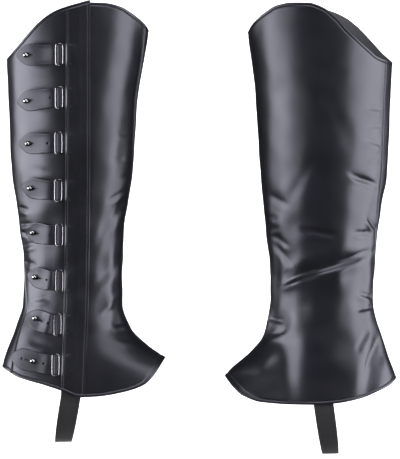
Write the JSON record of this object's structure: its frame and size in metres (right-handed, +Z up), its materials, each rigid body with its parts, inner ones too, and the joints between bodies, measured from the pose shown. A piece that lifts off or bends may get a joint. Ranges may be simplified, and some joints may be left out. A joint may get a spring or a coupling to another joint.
{
  "type": "boot covers",
  "caption": "Knee-high boot covers in black faux leather, each a hollow leg tube with a flared foot, a placket of buttoned tabs with metal slides down one side, and an elastic stirrup.",
  "frame": {"origin": "midway between the two covers, at the height of the wearer's calves, where the legs hold them up", "axes": "+Z up the legs, +X to the picture's right, -Y to the picture's viewer. The left cover's toe points to +X and its buckled side to -Y; the right cover is turned half round"},
  "size_m": [0.4571, 0.124, 0.5228],
  "materials": {
    "leather": "glossy black faux leather with a cool sheen",
    "elastic": "matte woven elastic",
    "metal": "bright nickel plate"
  },
  "bodies": {
    "root": {"left_inner_panel": "leather", "left_back_panel": "leather", "left_front_panel": "leather", "left_placket": "leather", "left_stirrup": "elastic", "left_tab_1": "leather", "left_tab_2": "leather", "left_tab_3": "leather", "left_tab_4": "leather", "left_tab_5": "leather", "left_tab_6": "leather", "left_tab_7": "leather", "left_tab_8": "leather", "left_slide_1": "metal", "left_slide_2": "metal", "left_slide_3": "metal", "left_slide_4": "metal", "left_slide_5": "metal", "left_slide_6": "metal", "left_slide_7": "metal", "left_slide_8": "metal", "left_stud_1": "metal", "left_stud_2": "metal", "left_stud_3": "metal", "left_stud_4": "metal", "left_stud_5": "metal", "left_stud_6": "metal", "left_stud_7": "metal", "left_stud_8": "metal", "right_inner_panel": "leather", "right_back_panel": "leather", "right_front_panel": "leather", "right_placket": "leather", "right_stirrup": "elastic", "right_tab_1": "leather", "right_tab_2": "leather", "right_tab_3": "leather", "right_tab_4": "leather", "right_tab_5": "leather", "right_tab_6": "leather", "right_tab_7": "leather", "right_tab_8": "leather", "right_slide_1": "metal", "right_slide_2": "metal", "right_slide_3": "metal", "right_slide_4": "metal", "right_slide_5": "metal", "right_slide_6": "metal", "right_slide_7": "metal", "right_slide_8": "metal", "right_stud_1": "metal", "right_stud_2": "metal", "right_stud_3": "metal", "right_stud_4": "metal", "right_stud_5": "metal", "right_stud_6": "metal", "right_stud_7": "metal", "right_stud_8": "metal"}
  },
  "joints": []
}
